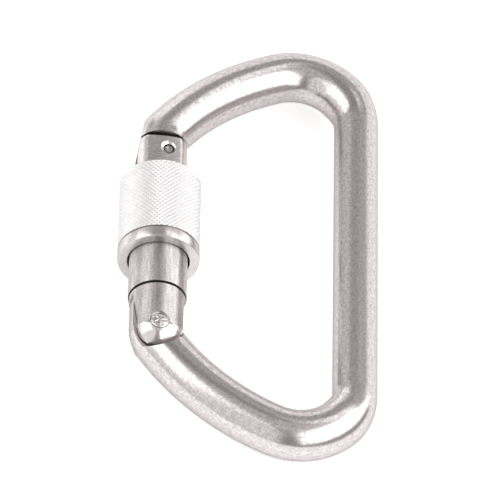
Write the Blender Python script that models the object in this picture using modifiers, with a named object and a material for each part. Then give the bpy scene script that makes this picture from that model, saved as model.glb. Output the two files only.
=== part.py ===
"""Locking carabiner: a bent steel bar closed by a sprung gate with a screw lock sleeve.

It lies flat. +X runs from the gate to the spine, +Y from the hinge to the nose, and +Z up
through its thickness. The origin is below the middle of the whole, level with its lowest point.
Plane outlines and turned profiles are written from the gate's axis: x or radius, then y.
"""

import math

import bmesh
import bpy
from mathutils import Vector

MM = 0.001

# The bent bar
BAR_RADIUS = 5.3 * MM
SPINE_RADIUS = 4.7 * MM
GATE_TO_SPINE = 41.5 * MM
SPINE_HALF_LENGTH = 36.2 * MM
CORNER_RADIUS = 12.5 * MM
CORNER_TURN = math.radians(113)
CORNER_TAPER_TURN = math.radians(40)
ARM_RADIUS = 53.0 * MM
ARM_TURN = math.radians(30)
BEND_RADIUS = 6.6 * MM
HINGE_END_SHIFT = -0.4 * MM
BAR_END_Y = 25.2 * MM

# The gate
GATE_TOP_Y = 24.8 * MM
NOSE_RADIUS = 5.55 * MM
NOSE_FOOT_Y = 14.2 * MM
NOSE_FLAT_Z = 4.3 * MM
NOSE_SLOT_HALF = 1.8 * MM
NOSE_SLOT_FLOOR_Y = 15.6 * MM
BARREL_RADIUS = 6.1 * MM
BARREL_TOP_Y = -5.3 * MM
BARREL_FOOT_Y = -16.45 * MM
CHEEK_RADIUS = 5.9 * MM
FORK_SLOT_HALF = 2.6 * MM
FORK_SLOT_TOP_Y = -18.0 * MM
BEVEL_X_AT_ZERO = -8.3 * MM
BEVEL_SLOPE = 0.142

# The hinge
HINGE_Y = -26.7 * MM
SHOULDER_RADIUS = 5.6 * MM
TONGUE_HALF = 2.3 * MM
TONGUE_TOP_Y = -19.3 * MM
RIVET_SHANK_RADIUS = 1.4 * MM
RIVET_HEAD_RADIUS = 1.85 * MM
RIVET_HALF_LENGTH = 6.0 * MM
RIVET_HEAD_DEPTH = 0.8 * MM

# The latch
PIN_X = 1.05 * MM
PIN_Y = 21.2 * MM
PIN_RADIUS = 1.0 * MM
PIN_HALF_LENGTH = 3.8 * MM
PIN_MOUTH_RADIUS = 1.55 * MM
CLAW_HALF = 1.5 * MM
CLAW_TIP_Y = 16.8 * MM

# The screw thread between the gate and the sleeve
PITCH = 2.0 * MM
THREAD_ROOT_RADIUS = 5.35 * MM
THREAD_DEPTH = 0.75 * MM
THREAD_LOW_Y = -3.9 * MM
THREAD_TURNS = 8.25
SLEEVE_THREAD_LOW_Y = -3.5 * MM
SLEEVE_THREAD_TURNS = 2.0

# The lock sleeve and its rings
SLEEVE_RADIUS = 8.6 * MM
SLEEVE_BORE_RADIUS = 6.45 * MM
SLEEVE_TOP_Y = 14.4 * MM
SLEEVE_FOOT_Y = -6.5 * MM
COLLAR_TOP_Y = -4.0 * MM
SEAT_RADIUS = 7.65 * MM
FRICTION_RING_Y = -5.45 * MM
FRICTION_RING_RADIUS = 6.87 * MM
FRICTION_RING_WIRE = 0.45 * MM
STOP_RING_Y = 13.75 * MM
STOP_RING_HALF = 0.25 * MM

# The closing spring and its plunger
BORE_X = 1.4 * MM
BORE_RADIUS = 2.0 * MM
BORE_END_Y = -3.5 * MM
PLUNGER_RADIUS = 1.7 * MM
PLUNGER_TIP_Y = -19.0 * MM
PLUNGER_SHOULDER_Y = -15.6 * MM
PLUNGER_STEM_RADIUS = 0.8 * MM
PLUNGER_STEM_TOP_Y = -12.6 * MM
SPRING_RADIUS = 1.35 * MM
SPRING_WIRE = 0.25 * MM
SPRING_TURNS = 9

RUNNING_GAP = 0.3 * MM
FINE_SIDES = 48
SMALL_SIDES = 24
THREAD_STEPS = 24

# Where the gate's axis lies: the sleeve is the lowest and leftmost piece
OVERALL_WIDTH = SLEEVE_RADIUS + GATE_TO_SPINE + SPINE_RADIUS
GATE_X = SLEEVE_RADIUS - OVERALL_WIDTH / 2
AXIS_Z = SLEEVE_RADIUS
GATE_LINE = Vector((GATE_X, 0.0, AXIS_Z))


# ---------------------------------------------------------------- scene and materials

def empty_scene():
    for obj in list(bpy.data.objects):
        bpy.data.objects.remove(obj, do_unlink=True)


def new_collection(name):
    collection = bpy.data.collections.new(name)
    bpy.context.scene.collection.children.link(collection)
    return collection


def new_material(name, colour, roughness, metallic):
    material = bpy.data.materials.new(name)
    material.use_nodes = True
    shader = material.node_tree.nodes["Principled BSDF"]
    shader.inputs["Base Color"].default_value = (*colour, 1.0)
    shader.inputs["Roughness"].default_value = roughness
    shader.inputs["Metallic"].default_value = metallic
    return material


empty_scene()
PARTS = new_collection("locking_carabiner")
CUTTERS = new_collection("cutters")


# ---------------------------------------------------------------- makers of solids

def add_mesh_object(name, mesh, collection):
    obj = bpy.data.objects.new(name, mesh)
    collection.objects.link(obj)
    return obj


def curve_to_mesh_object(name, curve, collection):
    """Turn a bevelled or filled curve into a closed mesh object."""
    source = bpy.data.objects.new(name + "_curve", curve)
    collection.objects.link(source)
    evaluated = source.evaluated_get(bpy.context.evaluated_depsgraph_get())
    mesh = bpy.data.meshes.new_from_object(evaluated)
    work = bmesh.new()
    work.from_mesh(mesh)
    bmesh.ops.remove_doubles(work, verts=work.verts, dist=0.002 * MM)
    bmesh.ops.recalc_face_normals(work, faces=work.faces)
    work.to_mesh(mesh)
    work.free()
    obj = add_mesh_object(name, mesh, collection)
    obj.matrix_world = source.matrix_world
    bpy.data.objects.remove(source, do_unlink=True)
    return obj


def bar(name, route, radius, resolution, collection):
    """A round bar or wire along (x, y, z, radius factor) points."""
    curve = bpy.data.curves.new(name, "CURVE")
    curve.dimensions = "3D"
    curve.bevel_depth = radius
    curve.bevel_resolution = resolution
    curve.use_fill_caps = True
    spline = curve.splines.new("POLY")
    spline.points.add(len(route) - 1)
    for point, (x, y, z, factor) in zip(spline.points, route):
        point.co = (x, y, z, 1.0)
        point.radius = factor
    return curve_to_mesh_object(name, curve, collection)


def plate(name, outline, low_z, high_z, collection=CUTTERS):
    """A flat plate in the gate's plane; low_z and high_z are heights over its axis."""
    curve = bpy.data.curves.new(name, "CURVE")
    curve.dimensions = "2D"
    curve.fill_mode = "BOTH"
    curve.extrude = (high_z - low_z) / 2
    spline = curve.splines.new("POLY")
    spline.points.add(len(outline) - 1)
    for point, (x, y) in zip(spline.points, outline):
        point.co = (x, y, 0.0, 1.0)
    spline.use_cyclic_u = True
    obj = curve_to_mesh_object(name, curve, collection)
    obj.location = GATE_LINE + Vector((0.0, 0.0, (low_z + high_z) / 2))
    return obj


def turned(name, profile, sides, collection=PARTS, closed=False):
    """A turned piece round its own Z axis, from (radius, height) points, outer side downwards."""
    mesh = bpy.data.meshes.new(name)
    count = len(profile)
    edges = [(i, (i + 1) % count) for i in range(count if closed else count - 1)]
    mesh.from_pydata([(radius, 0.0, height) for radius, height in profile], edges, [])
    obj = add_mesh_object(name, mesh, collection)
    screw = obj.modifiers.new("turn", "SCREW")
    screw.axis = "Z"
    screw.steps = sides
    screw.render_steps = sides
    screw.use_merge_vertices = True
    screw.merge_threshold = 0.001 * MM
    screw.use_smooth_shade = True
    return obj


def along_gate(obj, x=0.0, y=0.0):
    """Lay a turned piece along the gate's axis, with its own heights measured from y."""
    obj.location = GATE_LINE + Vector((x, y, 0.0))
    obj.rotation_euler = (-math.pi / 2, 0.0, 0.0)
    return obj


def arc(centre, radius, start, turn, steps):
    """Points on an arc; angles in radians, counted anticlockwise from +X."""
    angles = [start + turn * i / steps for i in range(steps + 1)]
    return [(centre[0] + radius * math.cos(a), centre[1] + radius * math.sin(a)) for a in angles]


def helix(radius, low_y, turns, steps, start=0.0, taper_steps=0):
    """Points of a right-hand helix round local Z, thinned at both ends over taper_steps."""
    count = round(turns * steps)
    route = []
    for i in range(count + 1):
        angle = start + math.tau * i / steps
        height = low_y + PITCH * i / steps
        near_end = min(i, count - i)
        factor = min(1.0, (near_end + 1) / (taper_steps + 1))
        route.append((radius * math.cos(angle), radius * math.sin(angle), height, factor))
    return route


def combine(target, tool, operation):
    """Cut, join or trim a piece with a tool body, which stays out of the model."""
    tool.hide_render = True
    tool.display_type = "WIRE"
    boolean = target.modifiers.new(operation.lower() + "_" + tool.name, "BOOLEAN")
    boolean.operation = operation
    boolean.solver = "EXACT"
    boolean.object = tool
    return target


def cross_drill(name, radius, x, y, half_length):
    """A round cutter along Z, through the gate's plane."""
    profile = [(0.0, half_length), (radius, half_length), (radius, -half_length), (0.0, -half_length)]
    obj = turned(name, profile, SMALL_SIDES, CUTTERS)
    obj.location = GATE_LINE + Vector((x, y, 0.0))
    return obj


def smooth(obj, angle=math.radians(35)):
    obj.data.shade_smooth()
    obj.data.set_sharp_from_angle(angle=angle)


# ---------------------------------------------------------------- the bent bar

def half_route(end_x):
    """Half of the bar's centre line, from the spine's middle to the gate's line at x = end_x."""
    corner_centre = (GATE_TO_SPINE - CORNER_RADIUS, SPINE_HALF_LENGTH)
    route = [(GATE_TO_SPINE, 0.0, SPINE_RADIUS / BAR_RADIUS)]
    corner_steps = 20
    for i, (x, y) in enumerate(arc(corner_centre, CORNER_RADIUS, 0.0, CORNER_TURN, corner_steps)):
        share = min(1.0, CORNER_TURN * i / corner_steps / CORNER_TAPER_TURN)
        ease = share * share * (3 - 2 * share)
        route.append((x, y, (SPINE_RADIUS + (BAR_RADIUS - SPINE_RADIUS) * ease) / BAR_RADIUS))
    inward = CORNER_RADIUS - ARM_RADIUS
    arm_centre = (corner_centre[0] + inward * math.cos(CORNER_TURN),
                  corner_centre[1] + inward * math.sin(CORNER_TURN))
    arm = arc(arm_centre, ARM_RADIUS, CORNER_TURN, ARM_TURN, 8)
    route += [(x, y, 1.0) for x, y in arm[1:]]
    heading = CORNER_TURN + ARM_TURN
    bend_start_x = end_x + BEND_RADIUS * (1 + math.cos(heading))
    run = (arm[-1][0] - bend_start_x) / math.sin(heading)
    bend_start_y = arm[-1][1] + run * math.cos(heading)
    bend_centre = (end_x + BEND_RADIUS, bend_start_y - BEND_RADIUS * math.sin(heading))
    route += [(x, y, 1.0) for x, y in arc(bend_centre, BEND_RADIUS, heading, math.pi - heading, 8)]
    return route


def body_route():
    upper = half_route(0.0)
    lower = half_route(HINGE_END_SHIFT)
    nose_end = [(0.0, BAR_END_Y, 1.0)]
    tongue_end = [(HINGE_END_SHIFT, TONGUE_TOP_Y, 1.0)]
    flat = nose_end + upper[:0:-1] + [(x, -y, factor) for x, y, factor in lower[1:]] + tongue_end
    return [(GATE_X + x, y, AXIS_Z, factor) for x, y, factor in flat]


def bevel_x(y):
    """The outer bevel ground on the nose: its x at a height y."""
    return BEVEL_X_AT_ZERO + BEVEL_SLOPE * y


def claw_outline():
    """The latch claw under the nose: a plate with a notch that the latch pin enters from the spine side."""
    notch = PIN_RADIUS + RUNNING_GAP
    root_y = BAR_END_Y + 3.0 * MM
    tip = [(-4.5 * MM, CLAW_TIP_Y), (1.9 * MM, CLAW_TIP_Y), (3.0 * MM, CLAW_TIP_Y + 0.8 * MM)]
    lip = [(3.2 * MM, PIN_Y - notch - 0.5 * MM), (2.8 * MM, PIN_Y - notch)]
    notch_floor = arc((PIN_X, PIN_Y), notch, -math.pi / 2, -math.pi, 10)
    shank = [(3.0 * MM, PIN_Y + notch), (3.7 * MM, PIN_Y + notch + 0.6 * MM), (3.7 * MM, root_y)]
    side = [(bevel_x(root_y) + 1.0 * MM, root_y), (bevel_x(BAR_END_Y) + 0.2 * MM, BAR_END_Y)]
    return tip + lip + notch_floor + shank + side


def cam_outline():
    """What is cut off the tongue's inner side: its flat top is the cam that lifts the plunger."""
    high_y, wide = TONGUE_TOP_Y + 1.0 * MM, 9.0 * MM
    cam = [(3.7 * MM, TONGUE_TOP_Y), (3.95 * MM, TONGUE_TOP_Y - 0.2 * MM), (4.3 * MM, TONGUE_TOP_Y - 1.2 * MM)]
    foot = [(4.3 * MM, HINGE_Y + 2.6 * MM), (5.6 * MM, HINGE_Y + 1.6 * MM), (wide, HINGE_Y + 1.6 * MM)]
    return [(3.6 * MM, high_y)] + cam + foot + [(wide, high_y)]


def shoulder_outline():
    """What is milled off each face of the bar so that the gate's cheeks can swing."""
    swing = arc((0.0, HINGE_Y), SHOULDER_RADIUS, math.pi, math.pi, 20)
    clear_y = TONGUE_TOP_Y + 2.0 * MM
    return swing + [(SHOULDER_RADIUS, clear_y), (-SHOULDER_RADIUS - 1.0 * MM, clear_y),
                    (-SHOULDER_RADIUS - 1.0 * MM, HINGE_Y)]


def bevel_cutter():
    """What lies outside the bevel, over the bar's nose."""
    low_y, high_y, away = 15.0 * MM, 36.0 * MM, -12.0 * MM
    outline = [(bevel_x(low_y), low_y), (bevel_x(high_y), high_y), (away, high_y), (away, low_y)]
    return plate("nose_bevel", outline, -8.0 * MM, 8.0 * MM)


def make_body():
    body = bar("body", body_route(), BAR_RADIUS, 12, PARTS)
    combine(body, plate("tongue_cam", cam_outline(), -8.0 * MM, 8.0 * MM), "DIFFERENCE")
    for side, low_z, high_z in (("near", TONGUE_HALF, 9 * MM), ("far", -9 * MM, -TONGUE_HALF)):
        combine(body, plate("shoulder_" + side, shoulder_outline(), low_z, high_z), "DIFFERENCE")
    combine(body, plate("latch_claw", claw_outline(), -CLAW_HALF, CLAW_HALF), "UNION")
    combine(body, bevel_cutter(), "DIFFERENCE")
    hole = cross_drill("tongue_hole", RIVET_SHANK_RADIUS + RUNNING_GAP, 0.0, HINGE_Y, 8 * MM)
    combine(body, hole, "DIFFERENCE")
    smooth(body)
    return body


# ---------------------------------------------------------------- the gate

def gate_profile():
    """Half of the gate's turned outline, from the nose down to the hinge end."""
    groove_top = STOP_RING_Y + STOP_RING_HALF + 0.2 * MM
    groove_foot = STOP_RING_Y - STOP_RING_HALF - 0.2 * MM
    groove_radius = 4.65 * MM
    seam_radius = 5.5 * MM
    nose = [(0.0, GATE_TOP_Y), (NOSE_RADIUS - 0.35 * MM, GATE_TOP_Y), (NOSE_RADIUS, GATE_TOP_Y - 0.35 * MM)]
    groove = [(NOSE_RADIUS, groove_top), (groove_radius, groove_top), (groove_radius, groove_foot),
              (THREAD_ROOT_RADIUS, groove_foot)]
    barrel = [(THREAD_ROOT_RADIUS, BARREL_TOP_Y + 0.7 * MM), (BARREL_RADIUS, BARREL_TOP_Y),
              (BARREL_RADIUS, BARREL_FOOT_Y)]
    seam = [(seam_radius, BARREL_FOOT_Y - 0.05 * MM), (seam_radius, BARREL_FOOT_Y - 0.5 * MM),
            (CHEEK_RADIUS, BARREL_FOOT_Y - 0.6 * MM)]
    dome_y, dome_round = -26.8 * MM, 4.6 * MM
    dome = [(CHEEK_RADIUS - dome_round * (1 - math.cos(a)), dome_y - dome_round * math.sin(a))
            for a in (math.radians(10 * i) for i in range(10))]
    return nose + groove + barrel + seam + dome + [(0.0, dome_y - dome_round)]


def gate_side_outline():
    """The gate seen along Z: the nose bevel, the waisted cheeks and their round feet."""
    wide = 9.0 * MM
    top_y = GATE_TOP_Y + 2.0 * MM
    low_nose_y = 13.0 * MM
    seam_y = BARREL_FOOT_Y - 0.6 * MM
    outer = [(bevel_x(top_y), top_y), (bevel_x(low_nose_y), low_nose_y), (-wide, low_nose_y), (-wide, seam_y)]
    outer_cheek = [(-5.75 * MM, seam_y - 0.4 * MM), (-5.1 * MM, -20.2 * MM), (-4.35 * MM, -25.0 * MM)]
    foot = arc((0.4 * MM, -26.8 * MM), 4.75 * MM, math.radians(168), math.radians(192), 18)
    inner_cheek = [(5.3 * MM, -20.0 * MM), (5.85 * MM, seam_y - 0.5 * MM), (wide, seam_y)]
    return outer + outer_cheek + foot + inner_cheek + [(wide, top_y)]


def make_gate():
    gate = along_gate(turned("gate", gate_profile(), FINE_SIDES))
    ridge = bar("gate_thread", helix(THREAD_ROOT_RADIUS, THREAD_LOW_Y, THREAD_TURNS, THREAD_STEPS, 0.0, 4),
                THREAD_DEPTH, 0, CUTTERS)
    combine(gate, along_gate(ridge), "UNION")
    reach = 9.0 * MM
    combine(gate, plate("gate_side", gate_side_outline(), -reach, reach), "INTERSECT")
    fork_foot_y = HINGE_Y - 8.0 * MM
    fork = [(-reach, fork_foot_y), (reach, fork_foot_y), (reach, FORK_SLOT_TOP_Y), (-reach, FORK_SLOT_TOP_Y)]
    combine(gate, plate("fork_slot", fork, -FORK_SLOT_HALF, FORK_SLOT_HALF), "DIFFERENCE")
    above_y = GATE_TOP_Y + 3.0 * MM
    mouth = [(-reach, NOSE_SLOT_FLOOR_Y), (reach, NOSE_SLOT_FLOOR_Y), (reach, above_y), (-reach, above_y)]
    combine(gate, plate("nose_slot", mouth, -NOSE_SLOT_HALF, NOSE_SLOT_HALF), "DIFFERENCE")
    face = [(-reach, NOSE_FOOT_Y), (reach, NOSE_FOOT_Y), (reach, above_y), (-reach, above_y)]
    combine(gate, plate("nose_flat_near", face, NOSE_FLAT_Z, reach), "DIFFERENCE")
    combine(gate, plate("nose_flat_far", face, -reach, -NOSE_FLAT_Z), "DIFFERENCE")
    combine(gate, latch_pin_cutter(), "DIFFERENCE")
    combine(gate, rivet_cutter(), "DIFFERENCE")
    bore = [(0.0, BORE_END_Y), (BORE_RADIUS, BORE_END_Y), (BORE_RADIUS, FORK_SLOT_TOP_Y - 1.0 * MM),
            (0.0, FORK_SLOT_TOP_Y - 1.0 * MM)]
    combine(gate, along_gate(turned("spring_bore", bore, SMALL_SIDES, CUTTERS), BORE_X), "DIFFERENCE")
    smooth(gate)
    return gate


def countersunk(half_length, mouth_radius, radius, mouth_depth):
    """Profile of a pin with conical heads, or of the hole for one."""
    upper = [(0.0, half_length), (mouth_radius, half_length), (radius, half_length - mouth_depth)]
    return upper + [(r, -h) for r, h in reversed(upper)]


def latch_pin_cutter():
    hole_radius = PIN_RADIUS + RUNNING_GAP
    slope_depth = PIN_MOUTH_RADIUS - hole_radius
    past = 1.0 * MM
    profile = countersunk(NOSE_FLAT_Z + past, PIN_MOUTH_RADIUS + past, hole_radius, past + slope_depth)
    obj = turned("latch_pin_hole", profile, SMALL_SIDES, CUTTERS)
    obj.location = GATE_LINE + Vector((PIN_X, PIN_Y, 0.0))
    return obj


def rivet_cutter():
    past = 0.4 * MM
    profile = countersunk(RIVET_HALF_LENGTH + past, RIVET_HEAD_RADIUS + RUNNING_GAP,
                          RIVET_SHANK_RADIUS + RUNNING_GAP, RIVET_HEAD_DEPTH + past)
    obj = turned("rivet_hole", profile, SMALL_SIDES, CUTTERS)
    obj.location = GATE_LINE + Vector((0.0, HINGE_Y, 0.0))
    return obj


def make_latch_pin():
    edge = 0.25 * MM
    profile = countersunk(PIN_HALF_LENGTH, PIN_RADIUS - edge, PIN_RADIUS, edge)
    pin = turned("latch_pin", profile, SMALL_SIDES)
    pin.location = GATE_LINE + Vector((PIN_X, PIN_Y, 0.0))
    return pin


def make_hinge_rivet():
    crown = [(0.0, RIVET_HALF_LENGTH), (1.1 * MM, RIVET_HALF_LENGTH - 0.08 * MM),
             (RIVET_HEAD_RADIUS, RIVET_HALF_LENGTH - 0.35 * MM),
             (RIVET_SHANK_RADIUS, RIVET_HALF_LENGTH - 0.35 * MM - RIVET_HEAD_DEPTH)]
    rivet = turned("hinge_rivet", crown + [(r, -h) for r, h in reversed(crown)], SMALL_SIDES)
    rivet.location = GATE_LINE + Vector((0.0, HINGE_Y, 0.0))
    return rivet


# ---------------------------------------------------------------- the lock sleeve and the rings

def sleeve_profile():
    """Closed section of the sleeve's wall; the knurl stands between the top chamfer and the collar's groove."""
    edge = 0.4 * MM
    groove_radius = SLEEVE_RADIUS - 0.35 * MM
    seat_half = FRICTION_RING_WIRE + RUNNING_GAP
    outer = [(SLEEVE_RADIUS - edge, SLEEVE_TOP_Y), (SLEEVE_RADIUS, SLEEVE_TOP_Y - edge),
             (SLEEVE_RADIUS, COLLAR_TOP_Y + 0.35 * MM), (groove_radius, COLLAR_TOP_Y + 0.2 * MM),
             (groove_radius, COLLAR_TOP_Y), (SLEEVE_RADIUS, COLLAR_TOP_Y - 0.2 * MM),
             (SLEEVE_RADIUS, SLEEVE_FOOT_Y + edge), (SLEEVE_RADIUS - edge, SLEEVE_FOOT_Y)]
    seat = [(SLEEVE_BORE_RADIUS, SLEEVE_FOOT_Y), (SLEEVE_BORE_RADIUS, FRICTION_RING_Y - seat_half),
            (SEAT_RADIUS, FRICTION_RING_Y - seat_half), (SEAT_RADIUS, FRICTION_RING_Y + seat_half),
            (SLEEVE_BORE_RADIUS, FRICTION_RING_Y + seat_half)]
    mouth = [(SLEEVE_BORE_RADIUS, SLEEVE_TOP_Y - edge), (SLEEVE_BORE_RADIUS + edge, SLEEVE_TOP_Y)]
    return outer + seat + mouth


def make_lock_sleeve():
    sleeve = along_gate(turned("lock_sleeve", sleeve_profile(), FINE_SIDES, closed=True))
    half_pitch_turn = math.tau * (SLEEVE_THREAD_LOW_Y - THREAD_LOW_Y) / PITCH + math.pi
    route = helix(SLEEVE_BORE_RADIUS, SLEEVE_THREAD_LOW_Y, SLEEVE_THREAD_TURNS, THREAD_STEPS,
                  half_pitch_turn, 3)
    ridge = bar("sleeve_thread", route, THREAD_DEPTH, 0, CUTTERS)
    combine(sleeve, along_gate(ridge), "UNION")
    smooth(sleeve)
    return sleeve


def make_friction_ring():
    """A rubber ring in the sleeve's lower end that keeps it from shaking loose."""
    bpy.ops.mesh.primitive_torus_add(major_radius=FRICTION_RING_RADIUS, minor_radius=FRICTION_RING_WIRE,
                                     major_segments=40, minor_segments=8)
    ring = bpy.context.object
    ring.name = "sleeve_friction_ring"
    for collection in list(ring.users_collection):
        collection.objects.unlink(ring)
    PARTS.objects.link(ring)
    ring.data.shade_smooth()
    return along_gate(ring, y=FRICTION_RING_Y)


def make_stop_ring():
    """An open snap ring above the gate's thread, where the sleeve's thread ends its travel."""
    inner, outer = 4.95 * MM, 6.0 * MM
    profile = [(outer, STOP_RING_HALF), (outer, -STOP_RING_HALF), (inner, -STOP_RING_HALF), (inner, STOP_RING_HALF)]
    ring = along_gate(turned("sleeve_stop_ring", profile, 40, closed=True), y=STOP_RING_Y)
    half_gap = 1.3 * MM
    gap = [(2.0 * MM, STOP_RING_Y - 2 * MM), (8.0 * MM, STOP_RING_Y - 2 * MM),
           (8.0 * MM, STOP_RING_Y + 2 * MM), (2.0 * MM, STOP_RING_Y + 2 * MM)]
    return combine(ring, plate("stop_ring_gap", gap, -half_gap, half_gap), "DIFFERENCE")


# ---------------------------------------------------------------- the closing spring

def make_plunger():
    tip = [(PLUNGER_RADIUS, PLUNGER_TIP_Y + 0.7 * MM), (1.25 * MM, PLUNGER_TIP_Y + 0.2 * MM),
           (0.6 * MM, PLUNGER_TIP_Y), (0.0, PLUNGER_TIP_Y)]
    stem = [(0.0, PLUNGER_STEM_TOP_Y), (PLUNGER_STEM_RADIUS, PLUNGER_STEM_TOP_Y),
            (PLUNGER_STEM_RADIUS, PLUNGER_SHOULDER_Y), (PLUNGER_RADIUS, PLUNGER_SHOULDER_Y)]
    return along_gate(turned("spring_plunger", stem + tip, SMALL_SIDES), BORE_X)


def make_return_spring():
    low_y = PLUNGER_SHOULDER_Y + RUNNING_GAP + SPRING_WIRE
    high_y = BORE_END_Y - RUNNING_GAP - SPRING_WIRE
    steps = 14 * SPRING_TURNS
    route = []
    for i in range(steps + 1):
        angle = math.tau * SPRING_TURNS * i / steps
        height = low_y + (high_y - low_y) * i / steps
        route.append((SPRING_RADIUS * math.cos(angle), SPRING_RADIUS * math.sin(angle), height, 1.0))
    spring = bar("return_spring", route, SPRING_WIRE, 2, PARTS)
    spring.data.shade_smooth()
    return along_gate(spring, BORE_X)


# ---------------------------------------------------------------- joints' axes and the assembly

def axis_empty(name, x, y, parent=None):
    """An empty on a joint's axis; the pieces that move with the joint hang from it."""
    empty = bpy.data.objects.new(name, None)
    PARTS.objects.link(empty)
    empty.location = GATE_LINE + Vector((x, y, 0.0))
    empty.empty_display_size = 5 * MM
    if parent:
        hang(empty, parent)
    return empty


def hang(obj, parent):
    """Parent a piece without moving it."""
    bpy.context.view_layer.update()
    obj.parent = parent
    obj.matrix_parent_inverse = parent.matrix_world.inverted()


def finish(obj, material, parent=None):
    obj.data.materials.clear()
    obj.data.materials.append(material)
    if parent:
        hang(obj, parent)


def build():
    hinge_axis = axis_empty("gate_hinge_axis", 0.0, HINGE_Y)
    plunger_axis = axis_empty("plunger_axis", BORE_X, PLUNGER_TIP_Y, hinge_axis)
    travel_axis = axis_empty("sleeve_travel_axis", 0.0, SLEEVE_FOOT_Y, hinge_axis)
    turn_axis = axis_empty("sleeve_turn_axis", 0.0, SLEEVE_FOOT_Y, travel_axis)
    steel = (0.62, 0.60, 0.60)
    finish(make_body(), new_material("bar_steel", steel, 0.18, 1.0))
    finish(make_gate(), new_material("gate_steel", (0.58, 0.56, 0.56), 0.22, 1.0), hinge_axis)
    finish(make_latch_pin(), new_material("pin_steel", (0.45, 0.43, 0.43), 0.30, 1.0), hinge_axis)
    finish(make_hinge_rivet(), new_material("rivet_steel", (0.60, 0.57, 0.57), 0.28, 1.0), hinge_axis)
    finish(make_stop_ring(), new_material("ring_steel", (0.40, 0.39, 0.39), 0.35, 1.0), hinge_axis)
    finish(make_return_spring(), new_material("spring_steel", (0.50, 0.50, 0.50), 0.30, 1.0), hinge_axis)
    finish(make_plunger(), new_material("plunger_steel", (0.50, 0.49, 0.48), 0.30, 1.0), plunger_axis)
    finish(make_friction_ring(), new_material("black_rubber", (0.03, 0.03, 0.03), 0.60, 0.0), travel_axis)
    finish(make_lock_sleeve(), new_material("sleeve_steel", (0.82, 0.82, 0.83), 0.35, 1.0), turn_axis)


build()
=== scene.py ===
"""Looks of the locking carabiner: detailed steel pieces on the CAD frame, floor, lights and camera.

Lengths of the object are in millimetres from the gate's axis: x or radius, then y, then z.
"""

import math

import bmesh
import bpy
from mathutils import Matrix, Vector


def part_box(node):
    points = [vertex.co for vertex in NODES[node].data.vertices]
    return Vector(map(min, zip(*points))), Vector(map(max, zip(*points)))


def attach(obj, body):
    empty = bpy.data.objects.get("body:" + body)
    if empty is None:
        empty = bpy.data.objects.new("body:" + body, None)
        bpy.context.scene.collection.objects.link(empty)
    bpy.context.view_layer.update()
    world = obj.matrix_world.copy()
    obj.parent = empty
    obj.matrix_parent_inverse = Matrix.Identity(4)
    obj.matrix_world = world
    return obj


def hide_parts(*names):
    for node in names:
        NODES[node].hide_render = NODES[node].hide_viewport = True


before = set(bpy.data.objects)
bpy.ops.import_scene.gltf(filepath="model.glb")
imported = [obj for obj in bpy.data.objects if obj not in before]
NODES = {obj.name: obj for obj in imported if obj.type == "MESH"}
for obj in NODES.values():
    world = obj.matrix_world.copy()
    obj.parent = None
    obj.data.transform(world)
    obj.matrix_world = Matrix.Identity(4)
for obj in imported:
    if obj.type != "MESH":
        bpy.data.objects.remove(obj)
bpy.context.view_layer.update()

MM = 0.001
SLEEVE_LOW, SLEEVE_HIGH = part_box("lock_sleeve")
GATE_LINE = Vector(((SLEEVE_LOW[0] + SLEEVE_HIGH[0]) / 2, 0.0, (SLEEVE_LOW[2] + SLEEVE_HIGH[2]) / 2))

# The bent bar
BAR_RADIUS = 5.3
SPINE_RADIUS = 4.7
GATE_TO_SPINE = 41.5
SPINE_HALF_LENGTH = 36.2
CORNER_RADIUS = 12.5
CORNER_TURN = math.radians(113)
CORNER_TAPER_TURN = math.radians(40)
ARM_RADIUS = 53.0
ARM_TURN = math.radians(30)
BEND_RADIUS = 6.6
HINGE_END_SHIFT = -0.4
BAR_END_Y = 25.2
TONGUE_HALF = 2.3
TONGUE_TOP_Y = -19.3
SHOULDER_RADIUS = 5.6
CLAW_HALF = 1.5
CLAW_TIP_Y = 16.8

# The gate
GATE_TOP_Y = 24.8
NOSE_RADIUS = 5.55
NOSE_FOOT_Y = 14.2
NOSE_FACE_Z = 4.66
NOSE_FACE_RADIUS = 14.0
NOSE_SIDE_TOP_Z = 4.2
NOSE_TOP_ROUND = 0.7
NOSE_SLOT_HALF = 1.8
NOSE_SLOT_FLOOR_Y = 15.6
BARREL_RADIUS = 6.1
BARREL_TOP_Y = -5.3
BARREL_FOOT_Y = -16.45
SEAM_RADIUS = 5.2
CHEEK_RADIUS = 5.9
FORK_SLOT_HALF = 2.6
FORK_SLOT_TOP_Y = -18.0
DOME_Y, DOME_ROUND = -26.8, 4.6
CHEEK_END_X, CHEEK_END_RADIUS = 0.4, 4.75
RIVET_HOLE_RADIUS, RIVET_MOUTH_RADIUS = 1.7, 2.15
BEVEL_X_AT_ZERO = -8.3
BEVEL_SLOPE = 0.142
HINGE_Y = -26.7
PIN_X, PIN_Y, PIN_RADIUS = 1.05, 21.2, 1.0
THREAD_ROOT_RADIUS = 5.35
THREAD_DEPTH = 0.75
THREAD_HALF_BASE = 0.8
THREAD_HALF_CREST = 0.12
THREAD_LOW_Y = -3.9
THREAD_TURNS = 8.25
PITCH = 2.0

# The sleeve
SLEEVE_RADIUS = 8.6
SLEEVE_BORE_RADIUS = 6.45
SLEEVE_TOP_Y = 14.4
SLEEVE_FOOT_Y = -6.5
COLLAR_TOP_Y = -4.0
RING_GROOVE_RADIUS, RING_GROOVE_TOP_Y, RING_GROOVE_FOOT_Y = 7.65, -4.7, -6.2
KNURL_DEPTH = 0.10
KNURL_COLUMNS = 52
KNURL_LAND = 0.42

# Material slots of the pieces with several finishes; the seam slot is no finish but painted shade in the groove
# at the barrel's foot
MILLED, SEAM_SHADE, DOME = 1, 2, 3
KNURLED = 1

# The tools for the cuts reach at least this far from the gate's axis
PAST = 9.0


# ---------------------------------------------------------------- makers of pieces

def place(x, y, z):
    return GATE_LINE + Vector((x, y, z)) * MM


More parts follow.
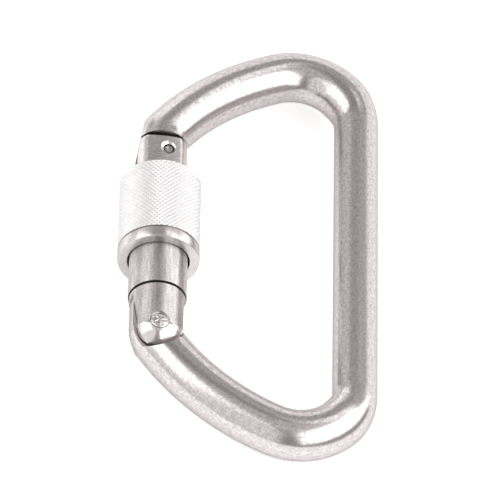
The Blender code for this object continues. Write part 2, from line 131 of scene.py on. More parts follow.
def make_object(name, points, faces):
    mesh = bpy.data.meshes.new(name)
    mesh.from_pydata([place(*p) for p in points], [], faces)
    obj = bpy.data.objects.new(name, mesh)
    bpy.context.scene.collection.objects.link(obj)
    return obj


def close_normals(obj):
    work = bmesh.new()
    work.from_mesh(obj.data)
    bmesh.ops.recalc_face_normals(work, faces=work.faces)
    work.to_mesh(obj.data)
    work.free()
    return obj


def smooth(obj, degrees=30):
    obj.data.shade_smooth()
    obj.data.set_sharp_from_angle(angle=math.radians(degrees))
    return obj


def arc(centre, radius, start, turn, steps):
    angles = [start + turn * i / steps for i in range(steps + 1)]
    return [(centre[0] + radius * math.cos(a), centre[1] + radius * math.sin(a)) for a in angles]


def revolve(name, profile, sides, axis="Y", centre=(0.0, 0.0), ring=False):
    """Turn (radius, height) points round the gate's axis, or round a line along Z through centre."""
    points, faces, rows = [], [], []
    for radius, height in profile:
        count = 1 if radius < 1e-6 else sides
        rows.append((len(points), count))
        for k in range(count):
            a = math.tau * k / sides
            c, s = radius * math.cos(a), radius * math.sin(a)
            points.append((centre[0] + c, height, s) if axis == "Y" else (centre[0] + c, centre[1] + s, height))
    pairs = list(zip(rows, rows[1:])) + ([(rows[-1], rows[0])] if ring else [])
    for (a0, an), (b0, bn) in pairs:
        for k in range(sides):
            n = (k + 1) % sides
            quad = [a0 + k % an, a0 + n % an, b0 + n % bn, b0 + k % bn]
            corners = [v for i, v in enumerate(quad) if v not in quad[:i]]
            if len(corners) > 2:
                faces.append(corners)
    return close_normals(make_object(name, points, faces))


def plate(name, outline, low_z, high_z, chamfer=0.0):
    """A flat plate in the gate's plane, with its long edges broken by a small chamfer."""
    count = len(outline)
    points = [(x, y, z) for z in (low_z, high_z) for x, y in outline]
    faces = [list(range(count - 1, -1, -1)), list(range(count, 2 * count))]
    faces += [[i, (i + 1) % count, count + (i + 1) % count, count + i] for i in range(count)]
    obj = close_normals(make_object(name, points, faces))
    if chamfer:
        work = bmesh.new()
        work.from_mesh(obj.data)
        rim = [e for e in work.edges if e.calc_face_angle(0.0) > math.radians(60)]
        bmesh.ops.bevel(work, geom=rim, offset=chamfer * MM, segments=2, affect="EDGES", profile=0.6)
        work.to_mesh(obj.data)
        work.free()
    return obj


def combine(target, tool, operation):
    """Cut or join at once; the tool is removed."""
    boolean = target.modifiers.new(operation, "BOOLEAN")
    boolean.operation = operation
    boolean.solver = "EXACT"
    boolean.object = tool
    graph = bpy.context.evaluated_depsgraph_get()
    mesh = bpy.data.meshes.new_from_object(target.evaluated_get(graph))
    target.modifiers.clear()
    target.data = mesh
    bpy.data.objects.remove(tool, do_unlink=True)
    return target


def join(target, *others):
    """Add the faces of other pieces to a piece."""
    work = bmesh.new()
    work.from_mesh(target.data)
    for other in others:
        work.from_mesh(other.data)
        bpy.data.objects.remove(other, do_unlink=True)
    work.to_mesh(target.data)
    work.free()
    return target


def ridge(name, radius, low_y, turns, start=0.0, inward=False):
    """A screw thread's ridge swept along a right-hand helix, tapered out over its ends."""
    steps = 48
    taper_steps = steps / 5
    sunk = 0.1
    count = round(turns * steps)
    side = -1.0 if inward else 1.0
    points, faces = [], []
    for i in range(count + 1):
        a = start + math.tau * i / steps
        y = low_y + PITCH * i / steps
        share = min(1.0, min(i, count - i) / taper_steps)
        crest = radius + side * THREAD_DEPTH * share
        foot = radius - side * sunk
        for r, dy in ((foot, -THREAD_HALF_BASE), (crest, -THREAD_HALF_CREST),
                      (crest, THREAD_HALF_CREST), (foot, THREAD_HALF_BASE)):
            points.append((r * math.cos(a), y + dy, -r * math.sin(a)))
    for i in range(count):
        for k in range(4):
            n = (k + 1) % 4
            faces.append([4 * i + k, 4 * i + n, 4 * i + 4 + n, 4 * i + 4 + k])
    faces += [[0, 1, 2, 3], [4 * count + k for k in (3, 2, 1, 0)]]
    return close_normals(make_object(name, points, faces))


# ---------------------------------------------------------------- the bent bar

def half_route(end_x):
    """Half of the bar's centre line from the spine's middle, as (x, y, radius)."""
    corner_centre = (GATE_TO_SPINE - CORNER_RADIUS, SPINE_HALF_LENGTH)
    straight_steps, corner_steps = 40, 66
    step = SPINE_HALF_LENGTH / straight_steps
    route = [(GATE_TO_SPINE, step * i, SPINE_RADIUS) for i in range(straight_steps)]
    for i, (x, y) in enumerate(arc(corner_centre, CORNER_RADIUS, 0.0, CORNER_TURN, corner_steps)):
        share = min(1.0, CORNER_TURN * i / corner_steps / CORNER_TAPER_TURN)
        ease = share * share * (3 - 2 * share)
        route.append((x, y, SPINE_RADIUS + (BAR_RADIUS - SPINE_RADIUS) * ease))
    inward = CORNER_RADIUS - ARM_RADIUS
    arm_centre = (corner_centre[0] + inward * math.cos(CORNER_TURN),
                  corner_centre[1] + inward * math.sin(CORNER_TURN))
    arm = arc(arm_centre, ARM_RADIUS, CORNER_TURN, ARM_TURN, 40)
    route += [(x, y, BAR_RADIUS) for x, y in arm[1:]]
    heading = CORNER_TURN + ARM_TURN
    bend_start_x = end_x + BEND_RADIUS * (1 + math.cos(heading))
    run = (arm[-1][0] - bend_start_x) / math.sin(heading)
    bend_start_y = arm[-1][1] + run * math.cos(heading)
    bend_centre = (end_x + BEND_RADIUS, bend_start_y - BEND_RADIUS * math.sin(heading))
    bend = arc(bend_centre, BEND_RADIUS, heading, math.pi - heading, 20)
    return route + [(x, y, BAR_RADIUS) for x, y in bend]


def bevel_x(y):
    """The flat bevel along the outer side of the nose and the claw."""
    return BEVEL_X_AT_ZERO + BEVEL_SLOPE * y


def bar_sweep():
    upper, lower = half_route(0.0), half_route(HINGE_END_SHIFT)
    route = [(0.0, BAR_END_Y, BAR_RADIUS)] + upper[:0:-1]
    route += [(x, -y, r) for x, y, r in lower] + [(HINGE_END_SHIFT, TONGUE_TOP_Y, BAR_RADIUS)]
    sides = 96
    points, faces, lengths = [], [], [0.0]
    for i, (x, y, r) in enumerate(route):
        before, after = route[max(0, i - 1)], route[min(len(route) - 1, i + 1)]
        heading = math.atan2(after[1] - before[1], after[0] - before[0])
        if i:
            lengths.append(lengths[-1] + math.dist(route[i - 1][:2], (x, y)))
        for k in range(sides):
            a = math.tau * k / sides
            out = r * math.cos(a)
            points.append((x - out * math.sin(heading), y + out * math.cos(heading), r * math.sin(a)))
    for i in range(len(route) - 1):
        for k in range(sides):
            n = (k + 1) % sides
            faces.append([sides * i + k, sides * i + n, sides * (i + 1) + n, sides * (i + 1) + k])
    last = sides * (len(route) - 1)
    faces += [list(range(sides)), list(range(last + sides - 1, last - 1, -1))]
    obj = make_object("bar", points, faces)
    layer = obj.data.uv_layers.new(name="along")
    uv_length = 100.0
    for face in obj.data.polygons:
        for loop in face.loop_indices:
            vertex = obj.data.loops[loop].vertex_index
            turn = vertex % sides
            ring_turns = [obj.data.loops[other].vertex_index % sides for other in face.loop_indices]
            if turn == 0 and sides - 1 in ring_turns:
                turn = sides
            layer.data[loop].uv = (lengths[vertex // sides] / uv_length, turn / sides)
    return close_normals(obj)


def claw_outline():
    """The flat hook that the latch pin drops into."""
    notch = PIN_RADIUS + 0.3
    root_y = BAR_END_Y + 3.0
    tip = [(-4.5, CLAW_TIP_Y), (1.9, CLAW_TIP_Y), (3.0, CLAW_TIP_Y + 0.8)]
    lip = [(3.2, PIN_Y - notch - 0.5), (2.8, PIN_Y - notch)]
    notch_floor = arc((PIN_X, PIN_Y), notch, -math.pi / 2, -math.pi, 24)
    shank = [(3.0, PIN_Y + notch), (3.7, PIN_Y + notch + 0.6), (3.7, root_y)]
    side = [(bevel_x(root_y) + 1.0, root_y), (bevel_x(BAR_END_Y) + 0.2, BAR_END_Y)]
    return tip + lip + notch_floor + shank + side


def cam_outline():
    """What is cut away beside the tongue, so that its top corner is a cam for the plunger."""
    high_y = TONGUE_TOP_Y + 1.0
    cam = [(3.7, TONGUE_TOP_Y), (3.95, TONGUE_TOP_Y - 0.2), (4.3, TONGUE_TOP_Y - 1.2)]
    relief = [(4.3, HINGE_Y + 2.6), (5.6, HINGE_Y + 1.6)]
    return [(3.6, high_y)] + cam + relief + [(PAST, HINGE_Y + 1.6), (PAST, high_y)]


def make_bar():
    body = bar_sweep()
    combine(body, plate("cam", cam_outline(), -PAST, PAST), "DIFFERENCE")
    swing = arc((0.0, HINGE_Y), SHOULDER_RADIUS, math.pi, math.pi, 64)
    clear_y = TONGUE_TOP_Y + 2.0
    back_x = -SHOULDER_RADIUS - 1
    shoulder = swing + [(SHOULDER_RADIUS, clear_y), (back_x, clear_y), (back_x, HINGE_Y)]
    combine(body, plate("shoulder", shoulder, TONGUE_HALF, PAST), "DIFFERENCE")
    combine(body, plate("shoulder", shoulder, -PAST, -TONGUE_HALF), "DIFFERENCE")
    combine(body, plate("claw", claw_outline(), -CLAW_HALF, CLAW_HALF), "UNION")
    low_y, high_y, far_x = 15.0, 36.0, -12.0
    bevel = [(bevel_x(low_y), low_y), (bevel_x(high_y), high_y), (far_x, high_y), (far_x, low_y)]
    combine(body, plate("bevel", bevel, -PAST, PAST), "DIFFERENCE")
    hole = [(0.0, PAST), (RIVET_HOLE_RADIUS, PAST), (RIVET_HOLE_RADIUS, -PAST), (0.0, -PAST)]
    combine(body, revolve("hole", hole, 48, "Z", (0.0, HINGE_Y)), "DIFFERENCE")
    return smooth(body)


# ---------------------------------------------------------------- the gate

def cheek_outline(seam_foot):
    """The gate seen from the front below its nose: full width down to the seam, then waisted cheeks."""
    high_y = NOSE_FOOT_Y + 1
    outer = [(-PAST, high_y), (-PAST, seam_foot), (-5.75, seam_foot - 0.4), (-5.1, -20.2), (-4.35, -25.0)]
    foot = arc((CHEEK_END_X, DOME_Y), CHEEK_END_RADIUS, math.radians(168), math.radians(192), 40)
    inner = [(5.3, -20.0), (5.85, seam_foot + 0.1), (PAST, seam_foot + 0.6), (PAST, high_y)]
    return outer + foot + inner


def gate_core():
    """The turned part of the gate below the nose, with its fork for the hinge."""
    edge = 0.25
    neck_radius, neck_y = 4.65, 13.3
    seam_y, seam_foot_y = BARREL_FOOT_Y, BARREL_FOOT_Y - 0.5
    profile = [(0.0, NOSE_FOOT_Y), (NOSE_RADIUS, NOSE_FOOT_Y), (neck_radius, NOSE_FOOT_Y - 0.01),
               (neck_radius, neck_y), (THREAD_ROOT_RADIUS, neck_y), (THREAD_ROOT_RADIUS, BARREL_TOP_Y + 0.75),
               (BARREL_RADIUS - edge, BARREL_TOP_Y + 0.1), (BARREL_RADIUS, BARREL_TOP_Y - edge),
               (BARREL_RADIUS, -9.0), (BARREL_RADIUS, -12.5), (BARREL_RADIUS, seam_y),
               (SEAM_RADIUS, seam_y - 0.02), (SEAM_RADIUS, seam_foot_y + 0.16),
               (CHEEK_RADIUS - 0.1, seam_foot_y + 0.12), (CHEEK_RADIUS, seam_foot_y),
               (CHEEK_RADIUS, -20.0), (CHEEK_RADIUS, -23.0)]
    dome = arc((CHEEK_RADIUS - DOME_ROUND, DOME_Y), DOME_ROUND, 0.0, -math.pi / 2, 24)
    core = revolve("gate_core", profile + dome + [(0.0, DOME_Y - DOME_ROUND)], 144)
    for face in core.data.polygons:
        height = (face.center.y - GATE_LINE.y) / MM
        # The groove under the barrel gets the near-black seam material: painted shade in the crevice
        if seam_foot_y < height < seam_y + 0.01:
            face.material_index = SEAM_SHADE
        elif height < DOME_Y:
            face.material_index = DOME
    combine(core, plate("side", cheek_outline(seam_y - 0.6), -PAST, PAST), "INTERSECT")
    low_y = -35.0
    fork = [(-PAST, low_y), (PAST, low_y), (PAST, FORK_SLOT_TOP_Y), (-PAST, FORK_SLOT_TOP_Y)]
    combine(core, plate("fork", fork, -FORK_SLOT_HALF, FORK_SLOT_HALF), "DIFFERENCE")
    half_hole = [(0.0, 6.4), (RIVET_MOUTH_RADIUS, 6.4), (RIVET_MOUTH_RADIUS, 5.55), (RIVET_HOLE_RADIUS, 5.2)]
    hole = half_hole + [(r, -h) for r, h in reversed(half_hole)]
    combine(core, revolve("rivet_hole", hole, 48, "Z", (0.0, HINGE_Y)), "DIFFERENCE")
    bore_x, bore_radius, bore_top_y, bore_foot_y = 1.4, 2.0, -3.5, -19.0
    spring_hole = [(0.0, bore_top_y), (bore_radius, bore_top_y), (bore_radius, bore_foot_y), (0.0, bore_foot_y)]
    bore = revolve("bore", spring_hole, 32)
    bore.data.transform(Matrix.Translation((bore_x * MM, 0.0, 0.0)))
    combine(core, bore, "DIFFERENCE")
    return smooth(core)


def rounded_outline(corners, steps=5):
    """Round a polygon's corners; corners are (x, z, fillet)."""
    outline = []
    count = len(corners)
    for i, (x, z, fillet) in enumerate(corners):
        here = Vector((x, z))
        if fillet <= 0:
            outline.append((x, z))
            continue
        before = (Vector(corners[i - 1][:2]) - here).normalized()
        after = (Vector(corners[(i + 1) % count][:2]) - here).normalized()
        start, end = here + before * fillet, here + after * fillet
        for k in range(steps + 1):
            t = k / steps
            outline.append(tuple(start * (1 - t) ** 2 + here * 2 * t * (1 - t) + end * t ** 2))
    return outline


def nose_section(y, low_z, high_z):
    """Section across one cheek of the nose at height y: round on both sides, flat on its face."""
    left, steps, fillet, crown_share = bevel_x(y), 8, 0.45, 0.84
    heights = [low_z + (high_z - low_z) * k / steps for k in range(steps + 1)]
    half_widths = [math.sqrt(NOSE_RADIUS ** 2 - z * z) for z in heights]
    right_side = [(x, z, 0.0) for x, z in zip(half_widths, heights)]
    left_side = [(max(left, -x), z, 0.0) for x, z in zip(half_widths, heights)]
    crown = []
    if high_z > NOSE_SLOT_HALF:
        right_side[-1] = (*right_side[-1][:2], fillet)
        left_side[-1] = (*left_side[-1][:2], fillet)
        for k in range(2 * steps + 1):
            x = half_widths[-1] * crown_share * (1 - k / steps)
            crown.append((x, NOSE_FACE_Z - x * x / (2 * NOSE_FACE_RADIUS), 0.0))
    return rounded_outline(right_side + crown + left_side[::-1])


def nose_block(name, low_y, high_y, low_z, high_z, top_round):
    """A lofted cheek of the nose, its top edge rounded over."""
    straight_steps, round_steps = 12, 4
    straight = high_y - top_round - low_y
    rings = [(low_y + straight * i / straight_steps, 0.0) for i in range(straight_steps + 1)]
    for k in range(1, round_steps + 1):
        a = math.pi / 2 * k / round_steps
        rings.append((high_y - top_round + top_round * math.sin(a), top_round * (1 - math.cos(a))))
    points, faces = [], []
    for y, shrink in rings:
        section = nose_section(y, low_z, high_z)
        count = len(section)
        mid_x = sum(p[0] for p in section) / count
        mid_z = (low_z + high_z) / 2
        half_x = max(abs(p[0] - mid_x) for p in section)
        half_z = (high_z - low_z) / 2
        for x, z in section:
            points.append((mid_x + (x - mid_x) * (1 - shrink / half_x), y,
                           mid_z + (z - mid_z) * (1 - shrink / half_z)))
    for i in range(len(rings) - 1):
        for k in range(count):
            n = (k + 1) % count
            faces.append([count * i + k, count * i + n, count * (i + 1) + n, count * (i + 1) + k])
    top = count * (len(rings) - 1)
    faces += [list(range(count)), list(range(top + count - 1, top - 1, -1))]
    return close_normals(make_object(name, points, faces))


def make_nose():
    """Two cheeks with a slot for the claw, and the pin's hole with its countersink in each."""
    low_y = NOSE_FOOT_Y - 0.5
    near = nose_block("near_cheek", low_y, GATE_TOP_Y, NOSE_SLOT_HALF, NOSE_SIDE_TOP_Z, NOSE_TOP_ROUND)
    far = near.copy()
    far.data = near.data.copy()
    bpy.context.scene.collection.objects.link(far)
    across = Matrix.Translation(GATE_LINE) @ Matrix.Scale(-1, 4, (0, 0, 1)) @ Matrix.Translation(-GATE_LINE)
    far.data.transform(across)
    close_normals(far)
    mouth, past, hole = 1.6, 1.0, PIN_RADIUS + 0.2
    high, floor = NOSE_FACE_Z - 0.03, NOSE_FACE_Z - 0.4
    drill = [(0.0, high + past), (mouth + 0.2, high + past), (mouth + 0.2, high), (mouth, high - 0.1),
             (hole, floor), (hole, 0.0), (0.0, 0.0)]
    facing, outermost, sharp_degrees = 0.94, 3.3 * MM, 25
    for cheek, side in ((near, 1), (far, -1)):
        tool = revolve("drill", [(r, h * side) for r, h in drill], 64, "Z", (PIN_X, PIN_Y))
        combine(cheek, tool, "DIFFERENCE")
        smooth(cheek, sharp_degrees)
        for face in cheek.data.polygons:
            flat = abs(face.normal.z) > facing and abs(face.center.z - GATE_LINE.z) > outermost
            face.material_index = MILLED if flat else DOME
    web = nose_block("web", low_y, NOSE_SLOT_FLOOR_Y, -NOSE_SLOT_HALF, NOSE_SLOT_HALF, 0.05)
    smooth(web, sharp_degrees)
    return join(near, far, web)


def make_gate():
    core = gate_core()
    thread = smooth(ridge("gate_thread", THREAD_ROOT_RADIUS, THREAD_LOW_Y, THREAD_TURNS), 20)
    return join(core, make_nose(), thread)


def make_rivet():
    """Peened rivet heads: a low dome with radial hammer notches."""
    radius, top, crown, rings, sides = 1.85, 5.95, 0.42, 12, 120
    notches, notch_depth, notch_turn = 5, 0.15, 0.35
    points, faces, heads = [], [], []
    for side in (1, -1):
        base = len(points)
        heads.append(base)
        points.append((0.0, HINGE_Y, side * (top + 0.03)))
        for i in range(1, rings + 1):
            share = i / rings
            for k in range(sides):
                a = math.tau * k / sides + notch_turn
                fade = math.sin(math.pi * min(1.0, share * 1.15))
                notch = max(0.0, math.cos(notches * a)) ** 3 * fade * notch_depth
                z = top - crown * share ** 3 - notch
                points.append((radius * share * math.cos(a), HINGE_Y + radius * share * math.sin(a), side * z))
        for k in range(sides):
            faces.append([base, base + 1 + k, base + 1 + (k + 1) % sides])
        for i in range(rings - 1):
            for k in range(sides):
                n = (k + 1) % sides
                row = base + 1 + i * sides
                faces.append([row + k, row + n, row + sides + n, row + sides + k])
    rims = [h + 1 + (rings - 1) * sides for h in heads]
    for k in range(sides):
        n = (k + 1) % sides
        faces.append([rims[0] + k, rims[0] + n, rims[1] + n, rims[1] + k])
    shank = close_normals(make_object("hinge_rivet_head", points, faces))
    return smooth(shank, 50)


def make_latch_pin():
    """The pin, with a small centre mark in each end."""
    half = NOSE_FACE_Z - 0.5
    end = [(0.0, half - 0.12), (0.35, half - 0.1), (0.6, half), (0.85, half), (PIN_RADIUS - 0.05, half - 0.15),
           (PIN_RADIUS, half - 0.3)]
    profile = end + [(r, -h) for r, h in reversed(end)]
    return smooth(revolve("latch_pin_ends", profile, 64, "Z", (PIN_X, PIN_Y)), 40)


# ---------------------------------------------------------------- the lock sleeve

def knurl(low_y, high_y, root, crest):
    """A band of raised diamonds, each a cut-off pyramid between crossing V grooves."""
    half_columns = 2 * KNURL_COLUMNS
    rows = round((high_y - low_y) / (math.tau * SLEEVE_RADIUS / half_columns))
    points, faces, valley = [], [], {}

    def point(i, j, radius):
        a = math.tau * i / half_columns
        points.append((radius * math.cos(a), low_y + (high_y - low_y) * j / rows, radius * math.sin(a)))
        return len(points) - 1

    def groove(i, j):
        key = (i % half_columns, j)
        if key not in valley:
            valley[key] = point(i, j, root)
        return valley[key]

    for j in range(rows + 1):
        for i in range(half_columns):
            if (i + j) % 2 == 0:
                continue
            kept = [(di, dj) for di, dj in ((1, 0), (0, 1), (-1, 0), (0, -1)) if 0 <= j + dj <= rows]
            low = [groove(i + di, j + dj) for di, dj in kept]
            top = [point(i + di * KNURL_LAND, j + dj * KNURL_LAND, crest) for di, dj in kept]
            faces.append(top)
            for k in range(len(kept)):
                n = (k + 1) % len(kept)
                faces.append([low[k], low[n], top[n], top[k]])
    return make_object("knurl", points, faces)


def make_sleeve():
    edge, groove = 0.35, SLEEVE_RADIUS - 0.35
    root = SLEEVE_RADIUS - KNURL_DEPTH
    band_low_y, band_high_y = COLLAR_TOP_Y + 0.4, SLEEVE_TOP_Y - 0.27
    outer = [(root - 0.3, SLEEVE_TOP_Y), (root - 0.03, band_high_y), (root - 0.03, band_low_y),
             (groove, band_low_y - 0.05), (groove, COLLAR_TOP_Y + 0.05), (SLEEVE_RADIUS - 0.1, COLLAR_TOP_Y),
             (SLEEVE_RADIUS, COLLAR_TOP_Y - 0.12), (SLEEVE_RADIUS, SLEEVE_FOOT_Y + edge),
             (SLEEVE_RADIUS - 0.1, SLEEVE_FOOT_Y + 0.1), (SLEEVE_RADIUS - edge, SLEEVE_FOOT_Y)]
    inner = [(SLEEVE_BORE_RADIUS + 0.15, SLEEVE_FOOT_Y), (SLEEVE_BORE_RADIUS, SLEEVE_FOOT_Y + 0.15),
             (SLEEVE_BORE_RADIUS, RING_GROOVE_FOOT_Y), (RING_GROOVE_RADIUS, RING_GROOVE_FOOT_Y),
             (RING_GROOVE_RADIUS, RING_GROOVE_TOP_Y), (SLEEVE_BORE_RADIUS, RING_GROOVE_TOP_Y),
             (SLEEVE_BORE_RADIUS, SLEEVE_TOP_Y - 0.4), (SLEEVE_BORE_RADIUS + 0.4, SLEEVE_TOP_Y)]
    shell = smooth(revolve("knurled_sleeve", outer + inner, 144, ring=True))
    thread_low_y, thread_turns = -3.5, 2.0
    from_gate_thread = thread_low_y - THREAD_LOW_Y
    start = math.tau * from_gate_thread / PITCH + math.pi
    thread = ridge("sleeve_thread", SLEEVE_BORE_RADIUS, thread_low_y, thread_turns, start, inward=True)
    band = knurl(band_low_y, band_high_y, root, SLEEVE_RADIUS)
    for face in band.data.polygons:
        face.material_index = KNURLED
    return join(shell, smooth(thread, 20), band)


# ---------------------------------------------------------------- materials

def node_tree(name):
    material = bpy.data.materials.new(name)
    material.use_nodes = True
    return material, material.node_tree, material.node_tree.nodes["Principled BSDF"]


def add_noise(tree, source, scale, stretch=(1.0, 1.0, 1.0), detail=3.0):
    """Noise over object or UV coordinates, stretched by a factor along each axis."""
    mapping = tree.nodes.new("ShaderNodeMapping")
    mapping.inputs["Scale"].default_value = stretch
    tree.links.new(source, mapping.inputs["Vector"])
    noise = tree.nodes.new("ShaderNodeTexNoise")
    noise.inputs["Scale"].default_value = scale
    noise.inputs["Detail"].default_value = detail
    noise.inputs["Roughness"].default_value = 0.55
    tree.links.new(mapping.outputs["Vector"], noise.inputs["Vector"])
    return noise.outputs["Fac"]


def ramp(tree, value, low, high, low_out, high_out):
    node = tree.nodes.new("ShaderNodeMapRange")
    for key, number in (("From Min", low), ("From Max", high), ("To Min", low_out), ("To Max", high_out)):
        node.inputs[key].default_value = number
    tree.links.new(value, node.inputs["Value"])
    return node.outputs["Result"]


def tint(tree, value, dark, light):
    """A colour between dark and light; a mix node's colours are its inputs 6 and 7 and its output 2."""
    mix = tree.nodes.new("ShaderNodeMix")
    mix.data_type = "RGBA"
    mix.inputs[6].default_value = (*dark, 1.0)
    mix.inputs[7].default_value = (*light, 1.0)
    tree.links.new(value, mix.inputs[0])
    return mix.outputs[2]


def add_bump(tree, shader, height, distance):
    bump = tree.nodes.new("ShaderNodeBump")
    bump.inputs["Distance"].default_value = distance
    tree.links.new(height, bump.inputs["Height"])
    tree.links.new(bump.outputs["Normal"], shader.inputs["Normal"])


def average(tree, a, b):
    """The mean of two values; a mix node's values are its inputs 2 and 3."""
    mix = tree.nodes.new("ShaderNodeMix")
    mix.data_type = "FLOAT"
    mix.inputs[0].default_value = 0.5
    tree.links.new(a, mix.inputs[2])
    tree.links.new(b, mix.inputs[3])
    return mix.outputs[0]


# What the steels reflect at grazing angles: a grey tint that dims their edge reflections, painted shade
# standing in for darker surroundings
EDGE_SHADE_TINT = (0.62, 0.59, 0.59, 1.0)


def steel(name, dark, light, rough_low, rough_high, stretch=(1.0, 1.0, 1.0), relief=0.000004,
          use_uv=False, turned=0.0):
    """Bare steel with fine grain and streaks; turned is how strongly its highlight is drawn out by rings."""
    grain, streaks, streaks_along_bar, contrast_low, contrast_high = 2600.0, 700.0, 30.0, 0.35, 0.65
    material, tree, shader = node_tree(name)
    shader.inputs["Specular Tint"].default_value = EDGE_SHADE_TINT
    if turned:
        shader.inputs["Anisotropic"].default_value = turned
        shader.inputs["Anisotropic Rotation"].default_value = 0.25
        tangent = tree.nodes.new("ShaderNodeTangent")
        tangent.direction_type, tangent.axis = "RADIAL", "Y"
        tree.links.new(tangent.outputs["Tangent"], shader.inputs["Tangent"])
    coordinates = tree.nodes.new("ShaderNodeTexCoord")
    fine = add_noise(tree, coordinates.outputs["Object"], grain, detail=2.0)
    if use_uv:
        streak = add_noise(tree, coordinates.outputs["UV"], streaks_along_bar, stretch)
    else:
        streak = add_noise(tree, coordinates.outputs["Object"], streaks, stretch)
    both = average(tree, fine, streak)
    shader.inputs["Metallic"].default_value = 1.0
    light_share = ramp(tree, both, contrast_low, contrast_high, 0.0, 1.0)
    roughness = ramp(tree, both, contrast_low, contrast_high, rough_high, rough_low)
    tree.links.new(tint(tree, light_share, dark, light), shader.inputs["Base Color"])
    tree.links.new(roughness, shader.inputs["Roughness"])
    add_bump(tree, shader, both, relief)
    return material


def rubber(name):
    material, tree, shader = node_tree(name)
    coordinates = tree.nodes.new("ShaderNodeTexCoord")
    speckle = add_noise(tree, coordinates.outputs["Object"], 1500.0)
    colour = tint(tree, speckle, (0.015, 0.015, 0.015), (0.05, 0.05, 0.05))
    tree.links.new(colour, shader.inputs["Base Color"])
    shader.inputs["Roughness"].default_value = 0.65
    add_bump(tree, shader, speckle, 0.00002)
    return material


def floor_material():
    material, tree, shader = node_tree("pale_floor")
    coordinates = tree.nodes.new("ShaderNodeTexCoord")
    soft = add_noise(tree, coordinates.outputs["Object"], 3.0)
    colour = tint(tree, soft, (0.90, 0.90, 0.90), (0.93, 0.93, 0.93))
    tree.links.new(colour, shader.inputs["Base Color"])
    shader.inputs["Roughness"].default_value = 0.9
    shader.inputs["Specular IOR Level"].default_value = 0.1
    shader.inputs["Emission Color"].default_value = (1.0, 1.0, 1.0, 1.0)
    shader.inputs["Emission Strength"].default_value = 0.35
    return material


def dress(obj, *materials):
    """Give a piece its materials and keep which face has which."""
    indices = [face.material_index for face in obj.data.polygons]
    obj.data.materials.clear()
    for material in materials:
        obj.data.materials.append(material)
    for face, index in zip(obj.data.polygons, indices):
        face.material_index = min(index, len(materials) - 1)


def carry(obj, name, body, node, slot, *materials):
    """Put a piece in the place of a CAD node, on the body that it moves with."""
    obj.name = name
    dress(obj, *materials)
    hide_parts(node)
    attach(obj, body)


def build_object():
    bar_steel = steel("polished_bar", (0.42, 0.39, 0.39), (0.68, 0.645, 0.645), 0.19, 0.27, (3.0, 1.6, 1.0),
                      relief=0.000003, use_uv=True)
    gate_steel = steel("turned_steel", (0.42, 0.385, 0.385), (0.70, 0.665, 0.665), 0.42, 0.52, (2.2, 0.25, 2.2),
                       turned=0.95)
    milled_steel = steel("milled_steel", (0.36, 0.33, 0.33), (0.60, 0.57, 0.57), 0.32, 0.44, (1.0, 3.0, 1.0))
    # Near-black steel for the seam groove under the barrel: painted shade in the crevice
    painted_seam_shade = steel("painted_seam_shade", (0.12, 0.11, 0.11), (0.18, 0.17, 0.17), 0.45, 0.60)
    dome_steel = steel("dome_steel", (0.56, 0.525, 0.525), (0.74, 0.705, 0.705), 0.16, 0.26)
    collar_steel = steel("collar_steel", (0.54, 0.51, 0.51), (0.64, 0.61, 0.61), 0.22, 0.30, (0.3, 2.2, 0.3),
                         turned=0.6)
    knurled_steel = steel("knurled_steel", (0.70, 0.70, 0.70), (0.80, 0.80, 0.80), 0.46, 0.56)
    pin_steel = steel("pin_steel", (0.36, 0.34, 0.34), (0.48, 0.46, 0.46), 0.22, 0.34)
    rivet_steel = steel("peened_steel", (0.46, 0.43, 0.43), (0.64, 0.61, 0.61), 0.22, 0.34)
    hidden_steel = steel("hidden_steel", (0.38, 0.37, 0.37), (0.50, 0.49, 0.48), 0.25, 0.40)
    carry(make_bar(), "polished_bar", "frame", "body", "bar_steel", bar_steel)
    carry(make_gate(), "gate_detail", "gate", "gate", "gate_steel", gate_steel, milled_steel, painted_seam_shade,
          dome_steel)
    carry(make_rivet(), "peened_rivet", "gate", "hinge_rivet", "rivet_steel", rivet_steel)
    carry(make_latch_pin(), "latch_pin_detail", "gate", "latch_pin", "pin_steel", pin_steel)
    carry(make_sleeve(), "knurled_sleeve", "sleeve", "lock_sleeve", "sleeve_steel", collar_steel, knurled_steel)
    dress(NODES["sleeve_friction_ring"], rubber("black_rubber"))
    for node in ("sleeve_stop_ring", "return_spring", "spring_plunger"):
        dress(NODES[node], hidden_steel)


# ---------------------------------------------------------------- floor, lights and camera

def build_floor():
    half = 4.0
    mesh = bpy.data.meshes.new("floor")
    corners = [(-half, -half, 0.0), (half, -half, 0.0), (half, half, 0.0), (-half, half, 0.0)]
    mesh.from_pydata(corners, [], [[0, 1, 2, 3]])
    floor = bpy.data.objects.new("floor", mesh)
    bpy.context.scene.collection.objects.link(floor)
    dress(floor, floor_material())


def softbox(name, azimuth, distance, low, high, width, radiance):
    """An upright soft panel facing the object, in metres. Azimuth 0 is toward -Y and 90 toward +X."""
    a = math.radians(azimuth)
    toward = Vector((math.sin(a), -math.cos(a), 0.0))
    place_at = toward * distance + Vector((0.0, 0.0, (low + high) / 2))
    add_panel(name, place_at, toward.to_track_quat("Z", "Y").to_euler(), width, high - low, radiance)


def ceiling_panel(name, x, y, z, width, depth, radiance):
    """A level soft panel that shines down, in metres."""
    add_panel(name, Vector((x, y, z)), (0.0, 0.0, 0.0), width, depth, radiance)


def add_panel(name, place_at, rotation, width, height, radiance):
    light = bpy.data.lights.new(name, "AREA")
    light.shape = "RECTANGLE"
    light.size, light.size_y = width, height
    light.energy = radiance * math.pi * width * height
    lamp = bpy.data.objects.new(name, light)
    bpy.context.scene.collection.objects.link(lamp)
    lamp.location = place_at
    lamp.rotation_euler = rotation
    lamp.visible_camera = False


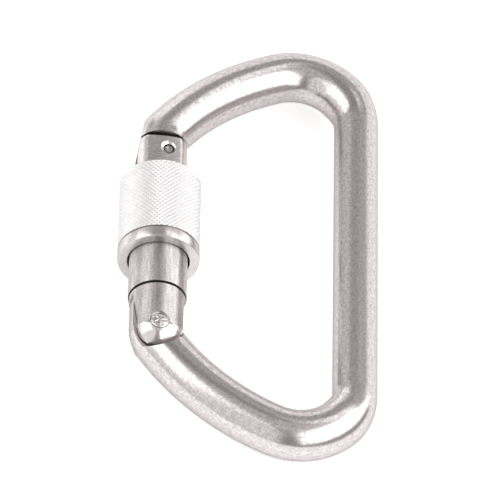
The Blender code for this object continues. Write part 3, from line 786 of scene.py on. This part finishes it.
def build_lights():
    world = bpy.data.worlds.new("studio")
    world.use_nodes = True
    world.node_tree.nodes["Background"].inputs["Color"].default_value = (0.34, 0.32, 0.32, 1.0)
    bpy.context.scene.world = world
    softbox("right_panel", azimuth=67.5, distance=0.8, low=0.28, high=2.1, width=2.24, radiance=2.3)
    softbox("left_panel", azimuth=-66, distance=0.8, low=0.05, high=2.0, width=2.2, radiance=0.75)
    softbox("left_core_panel", azimuth=-94, distance=0.85, low=0.40, high=1.5, width=1.0, radiance=1.2)
    softbox("back_right_panel", azimuth=160, distance=1.2, low=0.0, high=0.74, width=2.66, radiance=1.0)
    softbox("back_left_panel", azimuth=-142, distance=1.2, low=0.0, high=0.90, width=1.2, radiance=0.40)
    softbox("back_high_panel", azimuth=180, distance=1.5, low=1.1, high=2.6, width=3.0, radiance=0.18)
    ceiling_panel("top_panel", x=0.0, y=-0.2, z=1.9, width=2.6, depth=1.4, radiance=0.35)
    ceiling_panel("top_back_strip", x=0.78, y=0.71, z=1.5, width=1.06, depth=0.58, radiance=1.4)


def build_camera():
    """A long lens from the gate's lower left, turned a little about its own line of sight."""
    distance, roll = 1.424, math.radians(1.0)
    middle, shift_right, shift_up = Vector((1.92, 0.0, 8.6)), -1.10, -0.73
    toward = Vector((-0.1066, -0.6428, 0.7586)).normalized()
    up = (Vector((0.0, 1.0, 0.0)) - toward * toward.y).normalized()
    right = up.cross(toward)
    right, up = (right * math.cos(roll) + up * math.sin(roll), up * math.cos(roll) - right * math.sin(roll))
    aim = (middle + right * shift_right + up * shift_up) * MM
    data = bpy.data.cameras.new("camera")
    data.lens, data.sensor_width = 487.2, 36.0
    data.clip_start, data.clip_end = 0.05, 30.0
    camera = bpy.data.objects.new("camera", data)
    bpy.context.scene.collection.objects.link(camera)
    turn = Matrix((right, up, toward)).transposed()
    camera.matrix_world = Matrix.Translation(aim + toward * distance) @ turn.to_4x4()
    bpy.context.scene.camera = camera


build_object()
build_floor()
build_lights()
build_camera()
bpy.context.scene.view_settings.view_transform = "Standard"
